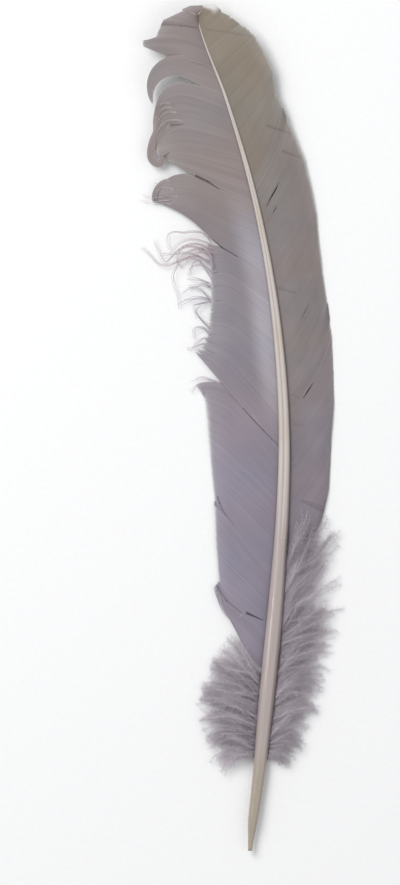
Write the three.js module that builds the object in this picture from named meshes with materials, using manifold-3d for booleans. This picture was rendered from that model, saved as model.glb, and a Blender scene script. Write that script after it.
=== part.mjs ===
// Goose quill feather lying on a table, under side up. Millimetres, +Z up, +Y towards the tip.
// A pale shaft with a groove carries a wide left vane, torn into curled lobes, a narrow right
// vane, and a tuft of down on each side of its foot. The feather's own length runs along Y from
// the cut end of the quill, and the finished group is moved so that its box stands on the origin.

import * as THREE from 'three';
import * as BufferGeometryUtils from 'three/addons/utils/BufferGeometryUtils.js';
import Module from 'manifold-3d';

const wasm = await Module();
wasm.setup();

const { degToRad, lerp, smoothstep } = THREE.MathUtils;

const LEFT = -1;
const RIGHT = 1;
const GAP = 0.3; // between the shaft and what grows on it

// Shaft. Each row has one value for every tenth of its length, from the cut end to the tip.
const SHAFT_LENGTH = 301;
const CENTRE_X = [0, 3.5, 6.5, 9.45, 11.6, 12.3, 10.6, 6.7, 0.4, -8.5, -19.1];
const WIDTH = [3.4, 4.8, 6.0, 5.75, 4.7, 4.05, 3.45, 2.7, 2.0, 1.2, 0.4];
const SLENDERNESS = 0.86; // height of the shaft over its width
const RINGS = 32;
const CUT_END = 0.5; // width of the blunt lower end, as a share of the full width there
const CUT_LENGTH = 13;
const GROOVE_START = 100; // the shaft below this is round
const GROOVE_RAMP = 45;
const GROOVE_END = 285;
const GROOVE_DEPTH = 0.16;
const SECTION = [ // half of the section: across, up
  [0.5, 0], [0.84, 0.14], [1, 0.42], [0.93, 0.74], [0.62, 0.96], [0.3, 1],
];

// The shaft lies flat on the table between these two heights and rises towards both ends.
const FLAT_FROM = 60;
const FLAT_TO = 205;
const FOOT_RISE = 2.4;
const TIP_RISE = 7;

// Vanes: one thin sheet each, set low on the side of the shaft, domed, with its edge lying down.
const SHEET = 0.6;
const ROOT_LEVEL = 0.34; // of the shaft's height
const EDGE_LEVEL = 0.36;
const DOME = 1.7;
const BARB_STEPS = 10;

// A lobe is the stretch of a vane between two tears. Its guides are barbs, from the tip down:
// height of the root on the shaft, X and Y of the barb's end, and the degrees that the barb
// turns outwards along its whole length (bend) and over the stretch called hooked (hook).
// joined is the share of its length over which the lobe still hangs on to the next one.
const LEFT_LOBES = [
  { barbs: 6, raise: 0.9, joined: 1, hooked: [0.5, 1], guides: [
    [300.3, -17, 305, 0, 0], [299.8, -21.7, 304.4, 10, 0],
    [298.5, -24.1, 303, 12, 0], [296.3, -31.1, 299.2, 20, 0],
  ] },
  { barbs: 8, raise: 0.1, joined: 0.5, hooked: [0.5, 1], guides: [
    [295.3, -32.3, 297.3, 28, 0], [290.9, -34.1, 293.3, 26, 0], [288.8, -38.9, 291.6, 28, 0],
    [286.6, -38.6, 290, 24, 0], [281.9, -30.2, 286.1, 18, 0],
  ] },
  { barbs: 6, raise: 1.6, joined: 0.22, hooked: [0.33, 1.11], guides: [
    [281.2, -35.6, 269.7, 121, 47], [277.2, -35.4, 269.5, 44, 100], [273.2, -35.2, 269.6, -35, 152],
  ] },
  { barbs: 7, raise: 0.4, joined: 1, hooked: [0.4, 0.84], guides: [
    [272, -35.1, 262.4, 61, 56], [266.7, -35, 259.1, 30, 78], [261.7, -34.8, 255.9, 12, 72],
    [257, -33.9, 255.9, 12, 56],
  ] },
  { barbs: 6, raise: 1.2, joined: 0.38, hooked: [0.5, 1], guides: [
    [256.1, -33.6, 255.3, 14, 56], [250.1, -33.2, 253.3, 12, 24], [242.1, -31.8, 251.2, 0, 12],
    [234.5, -30.5, 249.3, -14, 3],
  ] },
  { barbs: 7, raise: 0.1, joined: 0.5, hooked: [0.5, 1], guides: [
    [233.5, -34.7, 237.4, 5, 74], [227, -35.7, 235.6, 12, 34], [218.3, -35.5, 234.9, -8, 28],
    [207.8, -35.3, 234.7, -38, 40],
  ] },
  { barbs: 11, raise: 0.8, joined: 0.7, hooked: [0.6, 1], guides: [
    [206.6, -15.5, 219, 2, 24], [198, -14.1, 208.9, 2, 50], [184.3, -14.1, 198, 4, 45],
    [169.9, -15, 187.6, 8, 34], [157.2, -17, 181.4, 6, 30], [144.9, -19.9, 179.8, 0, 2],
  ] },
  { barbs: 9, raise: 0, joined: 1, hooked: [0.6, 1], guides: [
    [143.8, -19.5, 168.4, 20, 50], [137.3, -16.3, 162.6, 6, 30], [128.3, -15.2, 151.8, 2, 10],
    [115.6, -14.3, 139.1, 0, 0], [100.8, -11.7, 126.9, -4, -6],
  ] },
  { barbs: 6, raise: 0.7, joined: 1, hooked: [0.6, 1], guides: [
    [99.4, -12.9, 124.7, -4, 6], [90.3, -12.3, 110.2, 0, -6], [83.8, -11.6, 101.6, 12, -20],
    [79.9, -11.1, 97.4, 26, -34],
  ] },
  { barbs: 4, raise: 0, joined: 0, hooked: [0.6, 1], guides: [
    [77.3, -12.5, 95.6, 36, -33], [71.6, -10.3, 88.9, 4, -20], [65.8, -5.6, 81.3, -18, -10],
  ] },
];
const RIGHT_LOBES = [
  { barbs: 5, raise: 0.6, joined: 1, hooked: [0.5, 1], guides: [
    [300.3, -16.4, 305, 0, 0], [298.5, -11.9, 304.5, 4, 0], [296, -10.1, 302.3, 6, 0],
    [292, -6.5, 300.1, 6, 0],
  ] },
  { barbs: 10, raise: 0.6, joined: 1, hooked: [0.5, 1], guides: [
    [288.4, -3.6, 297.8, 4, 0], [284.8, -0.5, 296, 0, 0], [278.3, 2.5, 292.4, -4, 0],
    [269.2, 5.8, 286.6, -8, -4], [260.2, 8.1, 281.2, -12, -6], [251.2, 9, 273.9, -14, -8],
    [242.1, 11.6, 268.2, -16, -8],
  ] },
  { barbs: 10, raise: 0.2, joined: 1, hooked: [0.5, 1], guides: [
    [238, 13, 264.6, -16, -8], [222.3, 19.2, 250.1, -16, -10], [211.4, 21.7, 240.3, -16, -10],
    [200.6, 23.9, 229.9, -16, -10], [189.7, 24.8, 219.4, -16, -10],
    [178.9, 26, 208.9, -16, -10], [168.1, 27.8, 198, -16, -10],
  ] },
  { barbs: 10, raise: 0, joined: 0, hooked: [0.5, 1], guides: [
    [163, 28.6, 192, -16, -10], [157.2, 29.5, 185.4, -16, -10], [146.4, 30.2, 172.7, -16, -10],
    [135.5, 30.4, 161.9, -16, -10], [124.7, 29.5, 151.1, -16, -10],
    [113.8, 29.1, 140.2, -16, -10], [104.8, 28.6, 131.2, -14, -10], [97.6, 26.9, 123.6, -14, -10],
  ] },
];

// Strands that have come loose from the left vane: width where they leave it, and their route.
const LOOSE_THICKNESS = 0.7;
const LOOSE_STRANDS = [
  { width: 3, tipWidth: 2.2, rise: 1.4, route: [ // the rolled edge of the fourth lobe
    [-27, 268], [-31.1, 266.9], [-33.6, 263.5], [-34.5, 258.2], [-35.4, 254.2],
    [-35.5, 250.8], [-34.3, 248.1], [-32.2, 247.9], [-31.4, 250],
  ] },
  { width: 0.8, tipWidth: 0.4, rise: 2.2, route: [
    [-13.4, 218.6], [-17, 222.8], [-23.9, 223], [-28.9, 222.6], [-28.2, 216.1],
  ] },
  { width: 0.8, tipWidth: 0.4, rise: 2.6, route: [
    [-13, 214.6], [-17.7, 216.1], [-22, 214.3], [-22.8, 211.1],
  ] },
  { width: 0.8, tipWidth: 0.4, rise: 2, route: [
    [-12.6, 213.6], [-20.2, 217.9], [-26, 216.5], [-30, 212.5], [-32.1, 213.8], [-34.7, 220.5],
  ] },
  { width: 0.8, tipWidth: 0.4, rise: 1.5, route: [
    [-12.6, 209.6], [-21.7, 214.3], [-27.8, 211.8], [-33.2, 211.8], [-39, 217.7],
  ] },
  { width: 0.8, tipWidth: 0.4, rise: 1.8, route: [
    [-12.4, 204.8], [-17, 211.4], [-23.1, 213.6], [-27.8, 207.4], [-25.7, 199.5], [-25.3, 194.4],
  ] },
  { width: 0.8, tipWidth: 0.4, rise: 1.5, route: [
    [-12.4, 198.5], [-17.3, 202], [-23.9, 202.4], [-26.4, 197.3],
  ] },
  { width: 0.8, tipWidth: 0.4, rise: 1.8, route: [
    [-12.4, 190.4], [-18.4, 192.6], [-19.5, 195.2], [-15.2, 196.6],
  ] },
  { width: 0.8, tipWidth: 0.4, rise: 0.9, route: [
    [-13, 183.4], [-19.2, 182.4], [-23.1, 181.4],
  ] },
];

// Down: locks that swell from a narrow root and end in a point, rooted in a strip at the shaft.
// The guides are as for the vanes, and the locks stand evenly between the first and the last.
const LOCK_STEPS = 5;
const LOCK_WIDTH = 3.2;
const LOCK_THICKNESS = 1.6;
const STRIP_WIDTH = 1.4;
const PUFF = 2.6; // least height that the middle of a lock rises by
const RIGHT_DOWN = { side: RIGHT, locks: 24, hooked: [0.4, 1], guides: [
  [94, 25.4, 117, -12, -8], [86, 27, 104, -8, 0], [76, 28, 90, -4, 8], [66, 27.2, 76, 0, 18],
  [56, 26, 62, 4, 28], [46, 23.6, 48.5, 8, 38], [38, 19, 37.5, 10, 46], [33, 13, 29.5, 12, 50],
] };
const LEFT_DOWN = { side: LEFT, locks: 18, hooked: [0.4, 1], guides: [
  [62.5, -9.4, 75, -4, 8], [57, -14.8, 66, 0, 18], [51, -17.8, 57, 4, 28],
  [44, -18, 47.4, 8, 36], [38, -15.6, 38.4, 10, 44], [33, -9, 30.4, 12, 50],
] };

// Value at height y of a row with one value for every tenth of the shaft, on a smooth curve.
function alongShaft(row, y) {
  const last = row.length - 1;
  const place = THREE.MathUtils.clamp((y / SHAFT_LENGTH) * last, 0, last);
  const from = Math.min(Math.floor(place), last - 1);
  const t = place - from;
  const before = row[Math.max(from - 1, 0)];
  const after = row[Math.min(from + 2, last)];
  const slopeIn = (row[from + 1] - before) / 2;
  const slopeOut = (after - row[from]) / 2;
  const rise = row[from] - row[from + 1];
  return (2 * rise + slopeIn + slopeOut) * t ** 3
    - (3 * rise + 2 * slopeIn + slopeOut) * t ** 2 + slopeIn * t + row[from];
}

function shaftWidth(y) {
  return alongShaft(WIDTH, y) * lerp(CUT_END, 1, smoothstep(y, 0, CUT_LENGTH));
}

// Height of the shaft's flat under side above the table.
function shaftRise(y) {
  const foot = Math.max(FLAT_FROM - y, 0) / FLAT_FROM;
  const tip = Math.max(y - FLAT_TO, 0) / (SHAFT_LENGTH - FLAT_TO);
  return FOOT_RISE * foot ** 2 + TIP_RISE * tip ** 2;
}

function rootHeight(y) {
  return shaftRise(y) + ROOT_LEVEL * SLENDERNESS * shaftWidth(y);
}

// X of a root on one side of the shaft, a little way out from its flank.
function rootX(side, y, out) {
  return alongShaft(CENTRE_X, y) + side * (shaftWidth(y) / 2 + out);
}

// The plan of one barb. Its turning is walked first from the origin, and then the whole path is
// turned and stretched so that it runs from its root to its end.
function barbPath(side, guide, hooked, steps, out) {
  const [root, endX, endY, bend, hook] = guide;
  const path = [new THREE.Vector2()];
  for (let step = 0; step < steps; step += 1) {
    const t = (step + 0.5) / steps;
    const turn = degToRad(bend * t + hook * smoothstep(t, hooked[0], hooked[1]));
    path.push(path[step].clone().add(new THREE.Vector2(side * Math.sin(turn), Math.cos(turn))));
  }
  const start = new THREE.Vector2(rootX(side, root, out), root);
  const wanted = new THREE.Vector2(endX, endY).sub(start);
  const reached = path[steps].clone();
  const origin = new THREE.Vector2();
  return path.map((point) => point
    .multiplyScalar(wanted.length() / reached.length())
    .rotateAround(origin, wanted.angle() - reached.angle())
    .add(start));
}

// The guide at a share of the way from the first guide to the last, by height of the root.
function guideAt(guides, share) {
  const root = lerp(guides[0][0], guides.at(-1)[0], share);
  const next = Math.max(guides.findIndex((guide) => guide[0] <= root + 1e-6), 1);
  const [above, below] = [guides[next - 1], guides[next]];
  const t = (above[0] - root) / (above[0] - below[0]);
  return above.map((value, index) => lerp(value, below[index], t));
}

// The barbs of one vane as lines in space, and for each how many of its steps join the next.
function vaneLines(side, lobes) {
  const lines = [];
  const joins = [];
  for (const lobe of lobes) {
    for (let barb = 0; barb < lobe.barbs; barb += 1) {
      const guide = guideAt(lobe.guides, barb / (lobe.barbs - 1));
      const path = barbPath(side, guide, lobe.hooked, BARB_STEPS, GAP);
      lines.push(path.map((point, step) => {
        const share = step / BARB_STEPS;
        const level = lerp(rootHeight(guide[0]) - shaftRise(guide[0]), EDGE_LEVEL, share);
        const dome = DOME * 4 * share * (1 - share);
        const z = shaftRise(point.y) + level + dome + lobe.raise * share ** 2;
        return new THREE.Vector3(point.x, point.y, z);
      }));
      const joined = barb < lobe.barbs - 1 ? 1 : lobe.joined;
      joins.push(Math.round(joined * BARB_STEPS));
    }
  }
  return { lines, joins };
}

function geometryFrom(positions, indices) {
  const geometry = new THREE.BufferGeometry();
  geometry.setAttribute('position', new THREE.Float32BufferAttribute(positions, 3));
  geometry.setIndex(indices);
  return geometry;
}

// A closed sheet: the cells between neighbouring lines, above and below, and a wall along every
// edge that only one cell has.
function sheetGeometry(side, { lines, joins }) {
  const rows = lines[0].length;
  const positions = [];
  for (const line of lines) {
    for (const point of line) {
      positions.push(point.x, point.y, point.z + SHEET / 2, point.x, point.y, point.z - SHEET / 2);
    }
  }
  const upper = (line, step) => 2 * (line * rows + step);
  const faces = [];
  for (let line = 0; line < lines.length - 1; line += 1) {
    for (let step = 0; step < joins[line]; step += 1) {
      const a = upper(line, step);
      const b = upper(line, step + 1);
      const c = upper(line + 1, step + 1);
      const d = upper(line + 1, step);
      faces.push(...(side === LEFT ? [[a, b, c], [a, c, d]] : [[c, b, a], [d, c, a]]));
    }
  }
  const edges = new Set(faces.flatMap(([a, b, c]) => [`${a} ${b}`, `${b} ${c}`, `${c} ${a}`]));
  const indices = faces.flatMap(([a, b, c]) => [a, b, c, c + 1, b + 1, a + 1]);
  for (const edge of edges) {
    const [from, to] = edge.split(' ').map(Number);
    if (!edges.has(`${to} ${from}`)) {
      indices.push(to, from, from + 1, to, from + 1, to + 1);
    }
  }
  return geometryFrom(positions, indices);
}

// A closed lock along a line in space, four-sided, with its own width at each point and a
// pointed end. Its section is a flat diamond that stays level.
function lockGeometry(line, widths, thickness) {
  const positions = [];
  const indices = [];
  line.forEach((point, step) => {
    const before = line[Math.max(step - 1, 0)];
    const after = line[Math.min(step + 1, line.length - 1)];
    const across = new THREE.Vector2(before.y - after.y, after.x - before.x).normalize();
    const half = widths[step] / 2;
    const rise = (thickness / 2) * Math.min(1, widths[step] / thickness);
    positions.push(point.x + across.x * half, point.y + across.y * half, point.z);
    positions.push(point.x, point.y, point.z + rise);
    positions.push(point.x - across.x * half, point.y - across.y * half, point.z);
    positions.push(point.x, point.y, point.z - rise);
  });
  for (let step = 0; step < line.length - 1; step += 1) {
    for (let corner = 0; corner < 4; corner += 1) {
      const a = 4 * step + corner;
      const b = 4 * step + ((corner + 1) % 4);
      indices.push(a, b, b + 4, a, b + 4, a + 4);
    }
  }
  const last = 4 * (line.length - 1);
  indices.push(2, 1, 0, 3, 2, 0, last, last + 1, last + 2, last, last + 2, last + 3);
  return geometryFrom(positions, indices);
}

function toSolid(geometry) {
  return new wasm.Manifold(new wasm.Mesh({
    numProp: 3,
    vertProperties: geometry.attributes.position.array,
    triVerts: new Uint32Array(geometry.index.array),
  }));
}

// Joins closed pieces into one, and fills any pocket that they close off between them.
function join(geometries) {
  const whole = geometries.map(toSolid).reduce((sum, piece) => sum.add(piece));
  const shells = whole.decompose().filter((shell) => shell.volume() > 0);
  const mesh = shells.reduce((sum, shell) => sum.add(shell)).getMesh();
  return geometryFrom([...mesh.vertProperties], [...mesh.triVerts]);
}

// Loft of the shaft: a flat under side, round flanks, and a groove along the upper side.
function shaftGeometry() {
  const positions = [];
  const indices = [];
  for (let ring = 0; ring <= RINGS; ring += 1) {
    const y = (SHAFT_LENGTH * ring) / RINGS;
    const half = shaftWidth(y) / 2;
    const height = SLENDERNESS * shaftWidth(y);
    const groove = GROOVE_DEPTH * smoothstep(y, GROOVE_START, GROOVE_START + GROOVE_RAMP)
      * (1 - smoothstep(y, GROOVE_END - 30, GROOVE_END));
    const mirrored = SECTION.map(([across, up]) => [-across, up]).reverse();
    for (const [across, up] of [...SECTION, [0, 1.02 - groove], ...mirrored]) {
      positions.push(alongShaft(CENTRE_X, y) + across * half, y, shaftRise(y) + up * height);
    }
  }
  const sides = 2 * SECTION.length + 1;
  for (let ring = 0; ring < RINGS; ring += 1) {
    for (let corner = 0; corner < sides; corner += 1) {
      const a = ring * sides + corner;
      const b = ring * sides + ((corner + 1) % sides);
      indices.push(a, b + sides, b, a, a + sides, b + sides);
    }
  }
  const last = RINGS * sides;
  for (let corner = 1; corner < sides - 1; corner += 1) {
    indices.push(0, corner, corner + 1, last, last + corner + 1, last + corner);
  }
  return geometryFrom(positions, indices);
}

function looseStrand({ width, tipWidth, rise, route }) {
  const steps = Math.round(1.5 * route.length);
  const plan = new THREE.CatmullRomCurve3(route.map(([x, y]) => new THREE.Vector3(x, y, 0)));
  const line = plan.getPoints(steps).map((point, step) => {
    const share = step / steps;
    const z = shaftRise(point.y) + 1.1 + rise * Math.sin(Math.PI * share);
    return new THREE.Vector3(point.x, point.y, z);
  });
  const widths = line.map((point, step) => lerp(width, tipWidth, (step / steps) ** 2));
  return lockGeometry(line, widths, LOOSE_THICKNESS);
}

// One vane, with the strands that have come loose from it.
function vaneGeometry(side, lobes, strands) {
  return join([sheetGeometry(side, vaneLines(side, lobes)), ...strands.map(looseStrand)]);
}

function downGeometry({ side, locks, hooked, guides }) {
  const top = guides[0][0];
  const bottom = guides.at(-1)[0];
  const stripLine = [];
  for (let step = 0; step <= 12; step += 1) {
    const y = lerp(bottom - 1, top + 1, step / 12);
    stripLine.push(new THREE.Vector3(rootX(side, y, GAP + STRIP_WIDTH / 2), y, rootHeight(y)));
  }
  const pieces = [lockGeometry(stripLine, stripLine.map(() => STRIP_WIDTH), LOCK_THICKNESS / 2)];
  for (let lock = 0; lock < locks; lock += 1) {
    const guide = guideAt(guides, lock / (locks - 1));
    const sway = Math.sin(lock * 2.4);
    guide[1] += side * 1.2 * sway;
    const path = barbPath(side, guide, hooked, LOCK_STEPS, GAP + STRIP_WIDTH / 2);
    const puff = PUFF + 1.3 * (1 + Math.sin(lock * 4.1 + side));
    const line = path.map((point, step) => {
      const share = step / LOCK_STEPS;
      const level = lerp(rootHeight(guide[0]) - shaftRise(guide[0]), 0.8 + 0.5 * sway, share);
      const z = shaftRise(point.y) + level + puff * Math.sin(Math.PI * share);
      return new THREE.Vector3(point.x, point.y, z);
    });
    const widths = line.map((point, step) => {
      const share = step / LOCK_STEPS;
      return 0.35 + LOCK_WIDTH * Math.sin(Math.PI * Math.min(share, 0.985) ** 0.8);
    });
    pieces.push(lockGeometry(line, widths, LOCK_THICKNESS));
  }
  return join(pieces);
}

function addPiece(group, name, geometry, color, roughness) {
  const material = new THREE.MeshStandardMaterial({ color, roughness, metalness: 0 });
  const mesh = new THREE.Mesh(BufferGeometryUtils.toCreasedNormals(geometry, 0.6), material);
  mesh.name = name;
  group.add(mesh);
}

const feather = new THREE.Group();
addPiece(feather, 'shaft', shaftGeometry(), '#c4b9b1', 0.45);
addPiece(feather, 'left_vane', vaneGeometry(LEFT, LEFT_LOBES, LOOSE_STRANDS), '#938e92', 0.9);
addPiece(feather, 'right_vane', vaneGeometry(RIGHT, RIGHT_LOBES, []), '#86807f', 0.9);
addPiece(feather, 'left_down', downGeometry(LEFT_DOWN), '#8e8890', 1);
addPiece(feather, 'right_down', downGeometry(RIGHT_DOWN), '#8a848a', 1);

const box = new THREE.Box3().setFromObject(feather);
const middle = box.getCenter(new THREE.Vector3());
feather.position.set(-middle.x, -middle.y, -box.min.z);

export default feather;
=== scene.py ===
"""Goose quill feather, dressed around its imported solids.

The shaft is one fine loft. Each vane is made of its separate barbs, the down of strands with
barbules, and all of them grow from the shaft along the same guides as the solids do.
"""

from __future__ import annotations

import logging
import math
from dataclasses import astuple, dataclass, field
from enum import Enum

import bpy
import numpy as np
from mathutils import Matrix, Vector


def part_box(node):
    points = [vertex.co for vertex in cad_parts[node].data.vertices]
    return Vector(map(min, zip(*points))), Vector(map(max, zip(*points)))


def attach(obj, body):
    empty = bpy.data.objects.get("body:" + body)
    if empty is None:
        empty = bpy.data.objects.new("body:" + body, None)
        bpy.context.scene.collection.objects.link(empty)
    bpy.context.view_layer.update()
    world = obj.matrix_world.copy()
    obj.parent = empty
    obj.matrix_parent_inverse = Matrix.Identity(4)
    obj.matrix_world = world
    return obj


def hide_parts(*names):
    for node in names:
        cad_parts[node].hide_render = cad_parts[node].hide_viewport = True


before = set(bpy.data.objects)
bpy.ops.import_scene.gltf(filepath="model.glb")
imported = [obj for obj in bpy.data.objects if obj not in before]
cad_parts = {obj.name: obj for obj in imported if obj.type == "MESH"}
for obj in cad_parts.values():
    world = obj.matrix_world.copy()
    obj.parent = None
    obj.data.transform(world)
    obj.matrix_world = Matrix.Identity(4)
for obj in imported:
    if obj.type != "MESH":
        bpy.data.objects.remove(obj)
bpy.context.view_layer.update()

logging.basicConfig(level=logging.INFO, format="%(message)s")
log = logging.getLogger("feather")

MM = 0.001
BODY = "root"
# A wave's phase is drawn from nothing to about a whole turn, in radians.
PHASES = 6.3


class Side(Enum):
    """Side of the shaft that a vane or a tuft grows on, seen with the under side up."""

    LEFT = -1
    RIGHT = 1


class Slot(Enum):
    """Material slots of the part's record."""

    HORN = "horn"
    WIDE_VANE = "wide_vane"
    NARROW_VANE = "narrow_vane"
    DOWN = "down"


def linear(colour: str) -> tuple[float, float, float, float]:
    """Turn an sRGB hex colour into linear RGBA.

    Args:
        colour: six hex digits after a hash sign.

    Returns:
        Linear red, green, blue and an alpha of one.
    """
    parts = [int(colour[i:i + 2], 16) / 255 for i in (1, 3, 5)]
    red, green, blue = (p / 12.92 if p <= 0.04045 else ((p + 0.055) / 1.055) ** 2.4 for p in parts)
    return red, green, blue, 1.0


def smoothstep(value: np.ndarray | float, low: float, high: float) -> np.ndarray | float:
    """Ease from 0 at low to 1 at high.

    Args:
        value: where to read the ramp.
        low: end of the flat start.
        high: start of the flat end.

    Returns:
        The eased value, of the same shape as value.
    """
    t = np.clip((np.asarray(value, float) - low) / (high - low), 0.0, 1.0)
    return t * t * (3 - 2 * t)


# ---------------------------------------------------------------- meshes


def placed(name: str, data: bpy.types.ID) -> bpy.types.Object:
    """Put a mesh, a lamp or a camera in the scene.

    Args:
        name: name of its object.
        data: the mesh, the lamp's light or the camera's lens.

    Returns:
        The linked object.
    """
    thing = bpy.data.objects.new(name, data)
    bpy.context.scene.collection.objects.link(thing)
    return thing


@dataclass
class MeshMaker:
    """Collects closed pieces with one value per point for each named attribute."""

    names: tuple[str, ...]
    points: list[np.ndarray] = field(default_factory=list)
    faces: list[np.ndarray] = field(default_factory=list)
    values: list[np.ndarray] = field(default_factory=list)
    count: int = 0

    def add(self, points: np.ndarray, faces: np.ndarray, values: np.ndarray) -> None:
        """Add one closed piece.

        Args:
            points: its points in millimetres, one row each.
            faces: quads as rows of four indices; a triangle repeats its last index.
            values: one row of attribute values for each point.
        """
        self.points.append(points)
        self.faces.append(faces + self.count)
        self.values.append(values)
        self.count += len(points)

    def finish(self, name: str, node: str, slot: Slot, origin: Vector,
               material: bpy.types.Material, smooth: bool = False) -> bpy.types.Object:
        """Make the piece. It rides on the feather and stands for a solid.

        Args:
            name: name of the piece.
            node: the solid that it stands for.
            slot: the record's slot; not used.
            origin: place of the feather's own zero in the frame, in metres.
            material: its finish.
            smooth: whether its faces are shaded smooth.

        Returns:
            The piece.
        """
        points = np.concatenate(self.points) * MM + np.array(origin)
        faces = np.concatenate(self.faces).tolist()
        mesh = bpy.data.meshes.new(name)
        mesh.from_pydata(points.tolist(), [],
                         [row[:3] if row[2] == row[3] else row for row in faces])
        for label, column in zip(self.names, np.concatenate(self.values).T):
            layer = mesh.attributes.new(label, "FLOAT", "POINT")
            layer.data.foreach_set("value", column.astype(np.float32))
        mesh.polygons.foreach_set("use_smooth", [smooth] * len(mesh.polygons))
        mesh.update()
        mesh.materials.append(material)
        piece = placed(name, mesh)
        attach(piece, BODY)
        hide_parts(node)
        return piece


def ribbon_faces(rings: int) -> np.ndarray:
    """Faces of a closed ribbon made of rings of four points, with both ends capped.

    Args:
        rings: how many rings there are.

    Returns:
        Rows of four indices.
    """
    sides = np.arange(4)
    here = 4 * np.arange(rings - 1)[:, None] + sides
    beside = 4 * np.arange(rings - 1)[:, None] + (sides + 1) % 4
    walls = np.stack([here, beside, beside + 4, here + 4], -1).reshape(-1, 4)
    return np.concatenate([walls, [sides[::-1], 4 * (rings - 1) + sides]])


def headings(line: np.ndarray) -> tuple[np.ndarray, np.ndarray]:
    """Headings of a line as it is seen from above.

    Args:
        line: one point a row; only its X and Y are read.

    Returns:
        Unit steps along the line, and the same turned to the left.
    """
    run = np.gradient(line[:, :2], axis=0)
    run /= np.maximum(np.linalg.norm(run, axis=1, keepdims=True), 1e-9)
    return run, np.stack([-run[:, 1], run[:, 0]], 1)


def through(knots: np.ndarray, place: np.ndarray) -> np.ndarray:
    """Follow a smooth curve that runs through its knots.

    Args:
        knots: numbers, or points as rows.
        place: where to read the curve, 0 at the first knot, 1 at the second and so on.

    Returns:
        One number or point for each place.
    """
    last = len(knots) - 1
    start = np.minimum(place.astype(int), last - 1)
    t = (place - start).reshape(place.shape + (1,) * (knots.ndim - 1))
    before, after = knots[np.maximum(start - 1, 0)], knots[np.minimum(start + 2, last)]
    here, there = knots[start], knots[start + 1]
    slope_in, slope_out = (there - before) / 2, (after - here) / 2
    drop = here - there
    return ((2 * drop + slope_in + slope_out) * t ** 3
            - (3 * drop + 2 * slope_in + slope_out) * t ** 2 + slope_in * t + here)


def ribbon(line: np.ndarray, width: np.ndarray, thickness: np.ndarray, tilt: float) -> np.ndarray:
    """Points of a thin four-sided ribbon that lies nearly level along a line.

    Args:
        line: its middle line, one point a row, in millimetres.
        width: full width at each point.
        thickness: full thickness at each point.
        tilt: how far its left edge lies above its right one, as a share of the width.

    Returns:
        Four points for each point of the line: left edge, ridge, right edge, under side.
    """
    ridge_shift = 0.15
    across = np.column_stack([headings(line)[1], np.full(len(line), tilt)]) * width[:, None] / 2
    up = np.outer(thickness / 2, (0.0, 0.0, 1.0))
    ridge = line + up + ridge_shift * across
    return np.stack([line + across, ridge, line - across, line - up], 1).reshape(-1, 3)


# ---------------------------------------------------------------- finishes

# Where a ramp starts and ends, then its value at each.
Ramp = tuple[float, float, float, float]

# Settings that several nodes share.
EASED = {"interpolation_type": "SMOOTHSTEP"}
BLENDED = {"data_type": "RGBA"}
TINTED = {"data_type": "RGBA", "blend_type": "MULTIPLY"}
PRODUCT = {"operation": "MULTIPLY"}

KERATIN_IOR = 1.54


class Nodes:
    """A material's node tree under construction."""

    def __init__(self, name: str) -> None:
        """Start a material with an empty Principled surface."""
        self.material = bpy.data.materials.new(name)
        self.material.use_nodes = True
        self.tree = self.material.node_tree
        self.shader = self.tree.nodes["Principled BSDF"]

    def add(self, kind: str, settings: dict[str, str] | None = None, *values: object,
            output: str | None = None, **named: object) -> bpy.types.NodeSocket:
        """Add a node with its settings and links.

        Args:
            kind: Blender's name for the node type, without its ShaderNode prefix.
            settings: attributes of the node, set before its sockets.
            values: a value or another node's output for each input in use, in their order.
            output: name of the wanted output, or None for the first one in use.
            named: the same as values for inputs given by name, with _ for a space.

        Returns:
            The wanted output of the new node.
        """
        node = self.tree.nodes.new("ShaderNode" + kind)
        for key, value in (settings or {}).items():
            setattr(node, key, value)
        for socket, value in zip([each for each in node.inputs if each.enabled], values):
            self.feed(socket, value)
        for key, value in named.items():
            self.feed(node.inputs[key.replace("_", " ")], value)
        return node.outputs[output] if output else next(each for each in node.outputs if each.enabled)

    def feed(self, socket: bpy.types.NodeSocket, value: object) -> None:
        """Give a socket its value.

        Args:
            socket: an input of a node.
            value: a constant, or another node's output to link it to.
        """
        if isinstance(value, bpy.types.NodeSocket):
            self.tree.links.new(value, socket)
        else:
            socket.default_value = value

    def near_line(self, point: bpy.types.NodeSocket, start: tuple[float, float],
                  end: tuple[float, float], reach: tuple[float, float]) -> bpy.types.NodeSocket:
        """How near a point lies to a straight line.

        Args:
            point: output with the point, in the feather's own millimetres.
            start: one end of the line.
            end: its other end.
            reach: distance at which nearness has faded to nothing, at its start and at its end.

        Returns:
            An output, 1 on the line and 0 beyond its reach.
        """
        along = Vector((end[0] - start[0], end[1] - start[1], 0.0))
        offset = self.add("VectorMath", {"operation": "SUBTRACT"}, point, (*start, 0.0))
        share = self.add("VectorMath", {"operation": "DOT_PRODUCT"}, offset,
                         tuple(along / along.length_squared))
        held = self.add("Clamp", None, share)
        foot = self.add("VectorMath", {"operation": "SCALE"}, tuple(along), held)
        away = self.add("VectorMath", {"operation": "DISTANCE"}, offset, foot)
        width = self.add("MapRange", None, held, 0.0, 1.0, *reach)
        return self.add("MapRange", EASED, away, 0.0, width, 1.0, 0.0)

    def surface(self, colour: bpy.types.NodeSocket, bump: bpy.types.NodeSocket, depth_mm: float,
                **sockets: object) -> bpy.types.Material:
        """Finish the surface with a colour, a bump and its other sockets.

        Args:
            colour: output that gives the base colour.
            bump: output that gives the height of the fine relief, 0 to 1.
            depth_mm: real depth of that relief.
            sockets: values or outputs for the shader's sockets, named with _ for a space.

        Returns:
            The material.
        """
        relief = self.add("Bump", None, Strength=1.0, Distance=depth_mm * MM, Height=bump)
        for key, value in {"Base_Color": colour, "Normal": relief, **sockets}.items():
            self.feed(self.shader.inputs[key.replace("_", " ")], value)
        return self.material


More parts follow.
